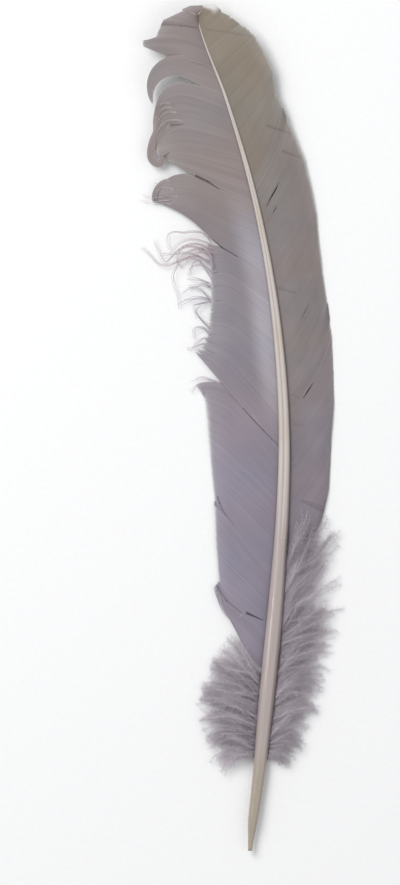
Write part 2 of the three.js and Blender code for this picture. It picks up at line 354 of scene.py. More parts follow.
@dataclass(frozen=True)
class ScrapedHorn:
    """Feather horn: the grown keratin of a shaft. It gives a satin, faintly waxy cream."""

    pale: str = "#C8BFB9"
    pink: str = "#B0A3A0"
    tan: str = "#C1B4A2"
    clear: str = "#A89E8E"
    fibre_mm: float = 0.4
    fibre_stretch: float = 40.0
    stains_per_mm: tuple[float, float] = (0.12, 1 / 24)
    relief_mm: float = 0.03
    # Shares of the tan, pink and clear horn: by the stain's noise, and by height in millimetres.
    stained: Ramp = (0.48, 0.66, 0.0, 0.45)
    pinked: Ramp = (145.0, 100.0, 0.0, 0.9)
    bared: Ramp = (40.0, 24.0, 0.0, 0.9)
    # Shade by the fibres' noise, and painted shade from the middle of the shaft to its right flank.
    streaked: Ramp = (0.25, 0.75, 0.93, 1.05)
    dye_and_painted_light: Ramp = (0.0, 1.0, 1.0, 0.89)
    # Roughness by height: the barrel is scraped smooth, and the shaft above it is grown matt.
    roughness: Ramp = (130.0, 90.0, 0.36, 0.15)

    def material(self) -> bpy.types.Material:
        """Build the material.

        Returns:
            Cream horn with long fibres and tan stains, pinker low down, a greyer bare quill, and
            painted shade on its right flank.
        """
        n = Nodes("feather_horn_grown")
        height, across, flank = (n.add("Attribute", {"attribute_name": name}, output="Fac")
                                 for name in ("height_mm", "across_mm", "flank"))
        place = n.add("CombineXYZ", None, across, height)
        # Fibres run along the shaft, so the noise is stretched along it.
        lengthwise = n.add("VectorMath", PRODUCT, place,
                           (1 / self.fibre_mm, 1 / (self.fibre_stretch * self.fibre_mm), 1.0))
        fibres = n.add("TexNoise", None, Vector=lengthwise, Scale=1.0, Detail=4.0)
        patches = n.add("VectorMath", PRODUCT, place, (*self.stains_per_mm, 1.0))
        stain = n.add("TexNoise", None, Vector=patches, Scale=1.0, Detail=2.0)
        horn = linear(self.pale)
        for value, ramp, colour in ((stain, self.stained, self.tan), (height, self.pinked, self.pink),
                                    (height, self.bared, self.clear)):
            share = n.add("MapRange", EASED, value, *ramp)
            horn = n.add("Mix", BLENDED, share, horn, linear(colour))
        streaks = n.add("MapRange", None, fibres, *self.streaked)
        # Painted shade: the right flank, on the narrow vane's side, is painted darker.
        dye_and_painted_light = n.add("MapRange", EASED, flank, *self.dye_and_painted_light)
        shade = n.add("Math", PRODUCT, streaks, dye_and_painted_light)
        return n.surface(n.add("Mix", TINTED, 1.0, horn, shade), fibres, self.relief_mm,
                         Roughness=n.add("MapRange", EASED, height, *self.roughness),
                         IOR=KERATIN_IOR, Specular_IOR_Level=0.5, Subsurface_Weight=0.1,
                         Subsurface_Scale=1.2 * MM, Subsurface_Radius=(1.0, 0.75, 0.6))


@dataclass(frozen=True)
class Mark:
    """A line on a vane that is darker, or paler where its depth is below nothing: the shade in a
    slit or fold, or a bar grown into the barbs. It reaches to its sides by one distance at its
    start and by another at its end."""

    reach: tuple[float, float]
    depth: float
    route: tuple[tuple[float, float], ...]


def mark(reach: tuple[float, float], depth: float, *route: tuple[float, float]) -> Mark:
    """Write a mark with its route as plain pairs of X and Y."""
    return Mark(reach, depth, route)


@dataclass(frozen=True)
class DyedBarbs:
    """Vane barbs, hooked together and dip-dyed. They give a dull, finely streaked grey."""

    name: str
    foot: str
    middle: str
    tip: str
    painted_light_at_shaft: str
    marks: tuple[Mark, ...] = ()
    worn: str = "#F0EEEC"
    warm: str = "#FFFBFA"
    cool: str = "#F9FBFF"
    seam: float = 0.0
    seam_mm: tuple[float, float] = (1.3, 0.5)
    streak_mm: float = 0.9
    streak_length_mm: float = 26.0
    blotch_mm: float = 20.0
    hues_per_blotch: float = 0.7
    relief_mm: float = 0.01
    # By the height of a barb's root, in millimetres: foot to middle, middle to tip, and where the
    # pale band of painted light beside the shaft starts and ends. Then the band's width, along the
    # barb.
    lower: Ramp = (110.0, 190.0, 0.0, 1.0)
    upper: Ramp = (205.0, 278.0, 0.0, 1.0)
    band_start: Ramp = (145.0, 170.0, 0.0, 1.0)
    band_end: Ramp = (245.0, 208.0, 0.0, 0.85)
    band_width: Ramp = (15.0, 5.0, 0.0, 1.0)
    # Shade by the noise of streaks and blotches, and the share of cool grey by that of hues.
    clouded: Ramp = (0.3, 0.7, 0.955, 1.045)
    cooled: Ramp = (0.35, 0.65, 0.0, 1.0)

    def material(self, origin: Vector) -> bpy.types.Material:
        """Build the material.

        Args:
            origin: place of the feather's own zero in the frame, in metres.

        Returns:
            A grey that shifts from the foot to the tip, with painted light at the shaft, in fine
            streaks.
        """
        n = Nodes(self.name)
        root, along, tone, worn = (n.add("Attribute", {"attribute_name": name}, output="Fac")
                                   for name in ("root_mm", "along_mm", "tone", "worn"))
        dye_and_painted_light = linear(self.foot)
        for colour, ramp in ((self.middle, self.lower), (self.tip, self.upper)):
            share = n.add("MapRange", EASED, root, *ramp)
            dye_and_painted_light = n.add("Mix", BLENDED, share, dye_and_painted_light, linear(colour))
        # Painted light: the barbs are painted palest beside the shaft, in the middle stretch of the
        # vane.
        band = n.add("MapRange", EASED, along, *self.band_width)
        for ramp in (self.band_start, self.band_end):
            band = n.add("Math", PRODUCT, band, n.add("MapRange", EASED, root, *ramp))
        dye_and_painted_light = n.add("Mix", BLENDED, band, dye_and_painted_light, linear(self.painted_light_at_shaft))
        place = n.add("CombineXYZ", None, root, along)
        # Streaks follow the barbs: a few barbs wide and as long as the vane is.
        drawn = n.add("VectorMath", PRODUCT, place,
                      (1 / self.streak_mm, 1 / self.streak_length_mm, 1.0))
        streak = n.add("TexNoise", None, Vector=drawn, Scale=1.0, Detail=3.0)
        moved = n.add("VectorMath", {"operation": "SUBTRACT"}, n.add("TexCoord", output="Object"),
                      tuple(origin))
        flat = n.add("VectorMath", PRODUCT, moved, (1 / MM, 1 / MM, 0.0))
        cloud = n.add("TexNoise", None, Vector=flat, Scale=1 / self.blotch_mm, Detail=2.0)
        hue = n.add("TexNoise", None, Vector=flat, Scale=self.hues_per_blotch / self.blotch_mm,
                    Detail=1.0)
        # The bare foot of each barb, beside the shaft, lets the dark under it through.
        shades = [n.add("MapRange", None, streak, *self.clouded),
                  n.add("MapRange", None, cloud, *self.clouded),
                  n.add("MapRange", EASED, along, *self.seam_mm, 1.0, 1.0 - self.seam)]
        for line in self.marks:
            reaches = np.linspace(*line.reach, len(line.route))
            for start, end, *reach in zip(line.route, line.route[1:], reaches, reaches[1:]):
                near = n.near_line(flat, start, end, tuple(reach))
                shades.append(n.add("MapRange", EASED, near, 0.0, 1.0, 1.0, 1.0 - line.depth))
        shade = tone
        for each in shades:
            shade = n.add("Math", PRODUCT, shade, each)
        tint = n.add("Mix", BLENDED, n.add("MapRange", EASED, hue, *self.cooled),
                     linear(self.warm), linear(self.cool))
        tinted = n.add("Mix", TINTED, 1.0, dye_and_painted_light, tint)
        grey = n.add("Mix", TINTED, 1.0, tinted, shade)
        # Barbules cross each barb a twentieth of a millimetre apart, drawn six times coarser.
        rungs = n.add("TexWave", {"wave_type": "BANDS", "bands_direction": "Y"}, Vector=place,
                      Scale=1.0, Distortion=3.0)
        return n.surface(n.add("Mix", BLENDED, worn, grey, linear(self.worn)), rungs,
                         self.relief_mm, Roughness=0.74, IOR=KERATIN_IOR,
                         Specular_IOR_Level=0.25, Sheen_Weight=0.08, Sheen_Roughness=0.5)


@dataclass(frozen=True)
class DyedDown:
    """Down, dip-dyed and dried. It gives a soft, clumped, light-catching grey."""

    root: str = "#ADA5AC"
    tip: str = "#B7AFB6"
    patch_mm: float = 4.0
    relief_mm: float = 0.01
    clouded: Ramp = (0.3, 0.7, 0.9, 1.1)

    def material(self) -> bpy.types.Material:
        """Build the material.

        Returns:
            A grey that turns paler towards the ends of the strands and differs between locks.
        """
        n = Nodes("down_dip_dyed")
        share, tone = (n.add("Attribute", {"attribute_name": name}, output="Fac")
                       for name in ("share", "tone"))
        base = n.add("Mix", BLENDED, share, linear(self.root), linear(self.tip))
        cloud = n.add("TexNoise", None, Scale=1 / (self.patch_mm * MM), Detail=2.0)
        shade = n.add("Math", PRODUCT, n.add("MapRange", None, cloud, *self.clouded), tone)
        return n.surface(n.add("Mix", TINTED, 1.0, base, shade), cloud, self.relief_mm,
                         Roughness=0.85, IOR=KERATIN_IOR, Specular_IOR_Level=0.25,
                         Sheen_Weight=0.15, Sheen_Roughness=0.6)


@dataclass(frozen=True)
class MattBoard:
    """Matt white board, the table top. It gives an even, nearly white ground."""

    white: str = "#F7F7F7"
    grain_mm: float = 0.5
    relief_mm: float = 0.01
    clouded: Ramp = (0.3, 0.7, 0.99, 1.01)

    def material(self) -> bpy.types.Material:
        """Build the material.

        Returns:
            White with a faint paper grain, half a millimetre across.
        """
        n = Nodes("matt_board_coated")
        grain = n.add("TexNoise", None, Scale=1 / (self.grain_mm * MM), Detail=2.0)
        shade = n.add("MapRange", None, grain, *self.clouded)
        return n.surface(n.add("Mix", TINTED, 1.0, linear(self.white), shade), grain,
                         self.relief_mm, Roughness=0.9, IOR=1.5, Specular_IOR_Level=0.2)


# ---------------------------------------------------------------- the shaft


@dataclass
class Shaft:
    """The shaft: its line, its sizes, and the fine loft that stands for it. Millimetres."""

    length: float = 301.0
    centre_x: tuple[float, ...] = (0, 3.5, 6.5, 9.45, 11.6, 12.3, 10.6, 6.7, 0.4, -8.5, -19.1)
    widths: tuple[float, ...] = (3.4, 4.8, 6.0, 5.75, 4.7, 4.05, 3.45, 2.7, 2.0, 1.2, 0.4)
    slenderness: float = 0.86
    cut_end: float = 0.5
    cut_length: float = 13.0
    flat_from: float = 60.0
    flat_to: float = 205.0
    foot_rise: float = 2.4
    tip_rise: float = 7.0
    root_level: float = 0.34
    groove_start: float = 100.0
    groove_ramp: float = 45.0
    groove_end: float = 285.0
    groove_fade: float = 30.0
    groove_depth: float = 0.16
    # Crown of the section: its lip in half widths across and heights up, by how much of the
    # groove's depth the lip sinks, and the height of its middle.
    lip: tuple[float, float] = (0.12, 1.015)
    lip_share: float = 0.45
    crown: float = 1.02
    corner_cuts: int = 2
    cad_rings: int = 32
    rings: int = 300
    round_section: tuple[tuple[float, float], ...] = (
        (0.5, 0), (0.84, 0.14), (1, 0.42), (0.93, 0.74), (0.62, 0.96), (0.3, 1))
    grooved_section: tuple[tuple[float, float], ...] = (
        (0.5, 0), (0.84, 0.14), (1, 0.42), (0.97, 0.76), (0.76, 0.96), (0.36, 1))

    def row_at(self, row: tuple[float, ...], y: np.ndarray | float) -> np.ndarray:
        """Read a row of evenly spaced values on a smooth curve.

        Args:
            row: one value for every tenth of the shaft.
            y: heights along the shaft.

        Returns:
            The value at each height.
        """
        last = len(row) - 1
        place = np.clip(np.asarray(y, float) / self.length * last, 0, last)
        return through(np.asarray(row, float), place)

    def width(self, y: np.ndarray | float) -> np.ndarray:
        """Width of the shaft at height y."""
        cut = self.cut_end + (1 - self.cut_end) * smoothstep(y, 0, self.cut_length)
        return self.row_at(self.widths, y) * cut

    def rise(self, y: np.ndarray | float) -> np.ndarray:
        """Height of the shaft's flat lower side above the table.

        Args:
            y: heights along the shaft.

        Returns:
            The rise at each height, most at the foot and at the tip.
        """
        foot = np.maximum(self.flat_from - np.asarray(y, float), 0) / self.flat_from
        tip = np.maximum(np.asarray(y, float) - self.flat_to, 0) / (self.length - self.flat_to)
        return self.foot_rise * foot ** 2 + self.tip_rise * tip ** 2

    def root_z(self, y: np.ndarray | float) -> np.ndarray:
        """Level above the shaft's lower side at which vane and down leave it."""
        return self.root_level * self.slenderness * self.width(y)

    def root_x(self, side: Side, y: np.ndarray | float, out: float) -> np.ndarray:
        """X of a root, a distance out from the shaft's flank."""
        return self.row_at(self.centre_x, y) + side.value * (self.width(y) / 2 + out)

    def origin(self) -> Vector:
        """Place of the feather's own zero in the frame, from the box of the shaft's solid.

        Returns:
            The point in metres.
        """
        low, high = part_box("shaft")
        rings = np.linspace(0, self.length, self.cad_rings + 1)
        reach = float(np.max(self.row_at(self.centre_x, rings) + self.width(rings) / 2))
        return Vector((high.x - reach * MM, low.y, 0.0))

    def outline(self, y: float) -> np.ndarray:
        """One ring of the loft.

        Args:
            y: height along the shaft.

        Returns:
            Its points, from the middle of the lower side up the right flank, across the crown
            and down the left one, as shares of half the width and of the height.
        """
        grooved = float(smoothstep(y, self.groove_start, self.groove_start + self.groove_ramp))
        groove = self.groove_depth * grooved * float(
            1 - smoothstep(y, self.groove_end - self.groove_fade, self.groove_end))
        section = (np.array(self.round_section) * (1 - grooved)
                   + np.array(self.grooved_section) * grooved)
        half = [(0.0, 0.0), *section.tolist(),
                (self.lip[0], self.lip[1] - self.lip_share * groove), (0.0, self.crown - groove)]
        closed = half + [(-across, up) for across, up in half[-2:0:-1]]
        ring = np.array(closed)
        # Cutting each corner at a quarter of its sides makes the loft round.
        for _ in range(self.corner_cuts):
            following = np.roll(ring, -1, axis=0)
            ring = np.stack([0.75 * ring + 0.25 * following, 0.25 * ring + 0.75 * following], 1)
            ring = ring.reshape(-1, 2)
        return ring

    def build(self) -> bpy.types.Object:
        """Build the loft.

        Returns:
            The shaft, closed, riding on the feather's body.
        """
        maker = MeshMaker(("height_mm", "across_mm", "flank"))
        heights = self.length * np.linspace(0, 1, self.rings + 1)
        rows, values = [], []
        for y in heights:
            share, up = self.outline(float(y)).T
            width = float(self.width(y))
            height, across = np.full(len(share), y), share * width / 2
            rows.append(np.stack([float(self.row_at(self.centre_x, y)) + across, height,
                                  float(self.rise(y)) + up * self.slenderness * width], 1))
            values.append(np.stack([height, across, share], 1))
        points, sides = np.concatenate(rows), len(rows[0])
        first = np.arange(sides)
        beside = np.roll(first, -1)
        walls = [np.stack([first, first + sides, beside + sides, beside], 1) + ring * sides
                 for ring in range(self.rings)]
        middle, last = np.full(sides, len(points)), self.rings * sides
        caps = [np.stack([middle, first, beside, beside], 1),
                np.stack([middle + 1, last + beside, last + first, last + first], 1)]
        ends = [points[:sides].mean(0), points[-sides:].mean(0)]
        maker.add(np.concatenate([points, ends]), np.concatenate(walls + caps),
                  np.concatenate([*values, [[0, 0, 0], [self.length, 0, 0]]]))
        return maker.finish("quill_shaft", "shaft", Slot.HORN, self.origin(),
                            ScrapedHorn().material(), smooth=True)


# ---------------------------------------------------------------- barbs


@dataclass(frozen=True)
class Guide:
    """One barb that the barbs around it follow. Millimetres and degrees."""

    root: float
    end_x: float
    end_y: float
    bend: float
    hook: float

    def towards(self, other: Guide, share: float) -> Guide:
        """The guide a share of the way from this one to another."""
        return Guide(*(a + (b - a) * share for a, b in zip(astuple(self), astuple(other))))


def guide_at(guides: list[Guide], share: float) -> Guide:
    """The guide at a share of the way from the first one to the last, by height of the root.

    Args:
        guides: guides from the tip down.
        share: 0 at the first, 1 at the last.

    Returns:
        The guide between its two neighbours.
    """
    root = guides[0].root + (guides[-1].root - guides[0].root) * share
    for above, below in zip(guides, guides[1:]):
        if root >= below.root - 1e-6:
            return above.towards(below, (above.root - root) / (above.root - below.root))
    return guides[-1]


def barb_plan(shaft: Shaft, side: Side, guide: Guide, hooked: tuple[float, float], steps: int,
              out: float) -> np.ndarray:
    """Plan of one barb, from its root to its end.

    Args:
        shaft: the shaft that it grows on.
        side: which side of it.
        guide: its root, end and turning.
        hooked: the stretch of its length over which it hooks.
        steps: how many steps the plan has.
        out: how far from the shaft's flank it starts.

    Returns:
        One more point than there are steps, as rows of X and Y in millimetres.
    """
    t = (np.arange(steps) + 0.5) / steps
    turn = np.radians(guide.bend * t + guide.hook * smoothstep(t, *hooked))
    moves = np.stack([side.value * np.sin(turn), np.cos(turn)], 1)
    path = np.concatenate([np.zeros((1, 2)), np.cumsum(moves, 0)])
    start = np.array([float(shaft.root_x(side, guide.root, out)), guide.root])
    wanted = complex(*(np.array([guide.end_x, guide.end_y]) - start))
    fitted = (path[:, 0] + 1j * path[:, 1]) * wanted / complex(*path[-1])
    return np.stack([fitted.real, fitted.imag], 1) + start


@dataclass(frozen=True)
class Lobe:
    """A stretch of a vane between two tears. Its last barb and the next lobe's first one hang
    together over a share of their lengths, given for the upper and for the lower one."""

    lift: float
    joined: tuple[float, float]
    hooked: tuple[float, float]
    clumping: float
    guides: list[Guide]


def lobe(lift: float, joined: tuple[float, float], hooked: tuple[float, float], clumping: float,
         *rows: tuple[float, ...]) -> Lobe:
    """Write a lobe with its guides as plain rows of five numbers."""
    return Lobe(lift, joined, hooked, clumping, [Guide(*row) for row in rows])


@dataclass(frozen=True)
class Slit:
    """A place where two barbs have unhooked, between two shares of their length. Barbs farther
    off are pushed less."""

    root: float
    start: float
    end: float
    width: float
    fade: float = 2.2

    def push(self, plan: np.ndarray, root: float) -> np.ndarray:
        """How far a barb near the slit is pushed away from it.

        Args:
            plan: the barb's X and Y.
            root: height of its root.

        Returns:
            Distances towards the feather's tip, one for each point of the plan.
        """
        share = np.linspace(0, 1, len(plan))
        middle = (self.start + self.end) / 2
        opening = smoothstep(share, self.start, middle) * (1 - smoothstep(share, middle, self.end))
        away = root - self.root
        return math.copysign(self.width / 2 * math.exp(-abs(away) / self.fade), away) * opening


@dataclass(frozen=True)
class Strand:
    """A few barbs that have come loose together and curl on their own."""

    width: float
    tip_width: float
    lift: float
    barbs: int
    route: tuple[tuple[float, float], ...]
    start_z: float
    end_z: float
    tone: float = 1.0


# By default a loose barb is painted paler than the vane, tone 1.6: painted light against the shade on
# these thin barbs.
def wisp(lift: float, *route: tuple[float, float], width: float = 0.5, start_z: float = 1.2,
         end_z: float = 1.0, tone: float = 1.6) -> Strand:
    """Write a few loose barbs that part at their ends, with their route as plain pairs."""
    return Strand(width, 2.2 * width, lift, 3, route, start_z, end_z, tone)


@dataclass
class Vane:
    """One vane as its separate barbs."""

    name: str
    node: str
    slot: Slot
    side: Side
    shaft: Shaft
    lobes: list[Lobe]
    strands: list[Strand]
    slits: list[Slit]
    finish: DyedBarbs
    seed: int
    spacing: float = 0.38
    fewest_barbs: int = 30
    steps: int = 28
    thickness: float = 0.07
    thinning: tuple[float, float] = (1.3, 0.7)
    tilt: float = 0.12
    overlap: float = 1.6
    widths: tuple[float, float] = (0.16, 0.9)
    end_width: float = 0.4
    edge_level: float = 0.36
    dome: float = 1.7
    root_inset: float = -0.35
    # Two slow waves along the shaft lift the barbs' ends, and lower them by no more than a limit.
    wave: float = 0.16
    wave_lengths: tuple[float, float] = (4.3, 9.7)
    wave_limit: float = -0.2
    # Barbs hold together in clumps of so many, which part a little at the edge of the vane.
    clump_barbs: tuple[int, int] = (7, 20)
    parted_from: float = 0.72
    shortening: float = 0.008
    unevenness: float = 0.02
    # Tones differ between barbs, between clumps, and at the rims of a lobe.
    barb_tone: float = 0.02
    clump_tone: float = 0.025
    clump_chance: float = 0.12
    rim_tone: float = 0.07
    # Bleaching: along a barb, at its end, and of whole barbs by the height of their roots.
    worn_along: float = 0.08
    worn_end: float = 0.3
    worn_foot: float = 0.0
    worn_foot_mm: tuple[float, float] = (150.0, 130.0)
    worn_tip: float = 0.0
    worn_tip_mm: tuple[float, float] = (296.0, 299.0)
    # Loose strands: steps between two points of the route, how many barbs hold each other, so
    # that fewer wobble and taper, and how far out on the vane their finish begins.
    strand_steps: int = 7
    held_barbs: int = 5
    wobble: float = 0.22
    strand_along: float = 14.0

    def surface(self, plan: np.ndarray, root: float, lift: float) -> np.ndarray:
        """Lay a plan on the vane's domed surface.

        Args:
            plan: rows of X and Y.
            root: height of its root.
            lift: how far the end of it stands off the table.

        Returns:
            Rows of X, Y and Z.
        """
        share = np.linspace(0, 1, len(plan))
        level = float(self.shaft.root_z(root)) * (1 - share) + self.edge_level * share
        dome = self.dome * 4 * share * (1 - share)
        short, long = self.wave_lengths
        wave = self.wave * share * (np.sin(root / short + 3 * share) + np.sin(root / long + 1.3))
        z = self.shaft.rise(plan[:, 1]) + level + dome + lift * share ** 2
        return np.column_stack([plan, z + np.maximum(wave, self.wave_limit)])

    def plans(self, part: Lobe, rng: np.random.Generator) -> tuple[list[np.ndarray], list[float]]:
        """Plans of all barbs of one lobe, and the heights of their roots, from the tip down.

        Args:
            part: the lobe.
            rng: source of the small differences between barbs.

        Returns:
            One array of X and Y for each barb, and one root for each.
        """
        stretch = part.guides[0].root - part.guides[-1].root
        count = max(int(round(stretch / self.spacing)), self.fewest_barbs)
        plans, roots = [], []
        clump_end, clump_start = 0, 0
        for barb in range(count + 1):
            if barb >= clump_end:
                clump_start, clump_end = barb, barb + int(rng.integers(*self.clump_barbs))
            guide = guide_at(part.guides, barb / count)
            plan = barb_plan(self.shaft, self.side, guide, part.hooked, self.steps, self.root_inset)
            share = np.linspace(0, 1, len(plan))[:, None]
            place = (barb - clump_start) / (clump_end - clump_start) - 0.5
            pull = self.spacing * (clump_end - clump_start) * part.clumping * place
            plan = plan + np.array([0.0, 1.0]) * pull * smoothstep(share, self.parted_from, 1.0)
            short = 1 - self.shortening * rng.random()
            plans.append(plan[0] + (plan - plan[0]) * short)
            roots.append(guide.root)
        return plans, roots

    def width_at(self, plans: list[np.ndarray], index: int) -> np.ndarray:
        """Width of one barb at each point, so that it overlaps its neighbours a little.

        Args:
            plans: plans of the lobe's barbs.
            index: which barb.

        Returns:
            One width for each point.
        """
        first, last = max(index - 1, 0), min(index + 1, len(plans) - 1)
        run = headings(plans[index])[0]
        apart = plans[last] - plans[first]
        gap = np.abs(run[:, 0] * apart[:, 1] - run[:, 1] * apart[:, 0]) / (last - first)
        width = np.clip(self.overlap * gap, *self.widths)
        width[-1] *= self.end_width
        return width

    def parted(self, plan: np.ndarray, root: float) -> np.ndarray:
        """Push a barb away from the vane's slits.

        Args:
            plan: its X and Y.
            root: height of its root.

        Returns:
            The moved plan.
        """
        upward = self.side.value * headings(plan)[1]
        for slit in self.slits:
            plan = plan + upward * slit.push(plan, root)[:, None]
        return plan

    def add_barb(self, maker: MeshMaker, line: np.ndarray, width: np.ndarray, root: float,
                 tone: float, worn: np.ndarray, from_shaft: float = 0.0) -> None:
        """Add one barb as a thin closed ribbon.

        Args:
            maker: the mesh under construction.
            line: its middle line.
            width: its width at each point.
            root: height of its root, for the finish.
            tone: how pale it is against its neighbours, about 1.
            worn: how far each point is bleached by wear, 0 to 1.
            from_shaft: how far from the shaft it starts.
        """
        count = len(line)
        thickness = np.full(count, self.thickness) * np.linspace(*self.thinning, count)
        points = ribbon(line, width, thickness, self.tilt * self.side.value)
        steps = np.linalg.norm(np.diff(line, axis=0), axis=1)
        along = from_shaft + np.concatenate([[0], np.cumsum(steps)])
        values = np.stack([np.full(count, root), along, np.full(count, tone), worn], 1)
        maker.add(points, ribbon_faces(count), np.repeat(values, 4, axis=0))

    def worn(self, count: int, root: float) -> np.ndarray:
        """How far each point of a barb is bleached.

        Args:
            count: how many points the barb has.
            root: height of its root.

        Returns:
            A value from 0 to 1 for each point.
        """
        share = np.linspace(0, 1, count)
        tip = self.worn_tip * float(smoothstep(root, *self.worn_tip_mm))
        end = self.worn_end + self.worn_foot * float(smoothstep(root, *self.worn_foot_mm))
        barb = self.worn_along * smoothstep(share, 0.7, 1.0) + end * smoothstep(share, 0.955, 1.0)
        return np.maximum(barb, tip * smoothstep(share, 0.6, 0.85))

    def build(self) -> bpy.types.Object:
        """Build the vane.

        Returns:
            All its barbs as one mesh, riding on the feather's body.
        """
        rng = np.random.default_rng(self.seed)
        maker = MeshMaker(("root_mm", "along_mm", "tone", "worn"))
        above: tuple[np.ndarray, float] | None = None
        joined = (0.0, 0.0)
        clump_tone = 1.0
        for part in self.lobes:
            plans, roots = self.plans(part, rng)
            for index, (plan, root) in enumerate(zip(plans, roots)):
                line = self.surface(self.parted(plan, root), root, part.lift)
                line[:, 2] += self.unevenness * rng.normal() * np.linspace(0, 1, len(line))
                if index == 0 and above:
                    self.bridge(maker, above, (line, root), joined)
                if rng.random() < self.clump_chance:
                    clump_tone = 1 + self.clump_tone * rng.normal()
                rim = self.rim_tone * math.exp(-min(index, len(plans) - 1 - index))
                tone = clump_tone + self.barb_tone * rng.normal() + rim
                self.add_barb(maker, line, self.width_at(plans, index), root, tone,
                              self.worn(len(line), root))
                above = (line, root)
            joined = part.joined
        for strand in self.strands:
            self.add_strand(maker, strand, rng)
        origin = self.shaft.origin()
        return maker.finish(self.name, self.node, self.slot, origin, self.finish.material(origin))

    def bridge(self, maker: MeshMaker, above: tuple[np.ndarray, float],
               below: tuple[np.ndarray, float], joined: tuple[float, float]) -> None:
        """Fill the stretch over which two lobes still hang together.

        Args:
            maker: the mesh under construction.
            above: last barb of the upper lobe, and the height of its root.
            below: first barb of the lower lobe, and the height of its root.
            joined: share of the upper and of the lower barb that is filled.
        """
        share = np.linspace(0, 1, self.steps + 1)
        upper, lower = (np.stack([np.interp(share * part, share, column) for column in line.T], 1)
                        for (line, _), part in zip((above, below), joined))
        gap = np.linalg.norm((upper - lower)[:, :2], axis=1)
        count = max(math.ceil(float(gap.max()) / (0.8 * self.spacing)), 1)
        width = np.clip(2.2 * gap / (count + 1), 0.2, 0.8)
        for barb in range(1, count + 1):
            mix = barb / (count + 1)
            line = upper * (1 - mix) + lower * mix
            root = above[1] * (1 - mix) + below[1] * mix
            self.add_barb(maker, line, width, root, 1.0, np.zeros(len(line)))

    def add_strand(self, maker: MeshMaker, strand: Strand, rng: np.random.Generator) -> None:
        """Add a loose strand, as barbs side by side along its route.

        Args:
            maker: the mesh under construction.
            strand: the strand.
            rng: source of the small differences between barbs.
        """
        steps = self.strand_steps * (len(strand.route) - 1)
        knots = np.array(strand.route, float)
        plan = through(knots, np.linspace(0, len(knots) - 1, steps + 1))
        share = np.linspace(0, 1, steps + 1)
        z = (self.shaft.rise(plan[:, 1]) + strand.start_z * (1 - share) + strand.end_z * share
             + strand.lift * np.sin(np.pi * share))
        across = headings(plan)[1]
        spread = strand.width + (strand.tip_width - strand.width) * share ** 1.5
        loose = strand.barbs < self.held_barbs
        for barb in range(strand.barbs):
            offset = (barb / max(strand.barbs - 1, 1) - 0.5) * 0.9
            end = steps + 1 - int(rng.integers(0, 4))
            wobble = self.wobble * share * np.sin(
                share * (9 + 5 * rng.random()) + PHASES * rng.random()) if loose else 0.0
            moved = plan + across * (spread * offset + wobble)[:, None]
            height = z + 0.25 * (0.25 - offset ** 2) * strand.width + 0.02 * rng.normal()
            line = np.column_stack([moved, height])[:end]
            width = np.full(end, min(1.6 * strand.width / strand.barbs, 0.42))
            width *= np.linspace(1, 0.3 if loose else 0.8, end)
            width *= np.minimum(0.3 + 6 * share[:end], 1)
            tone = strand.tone * (1 + 1.1 * offset ** 2 + 0.04 * rng.normal())
            root = knots[0, 1] + self.spacing * barb
            self.add_barb(maker, line, width, root, tone, np.zeros(end), self.strand_along)


# ---------------------------------------------------------------- down


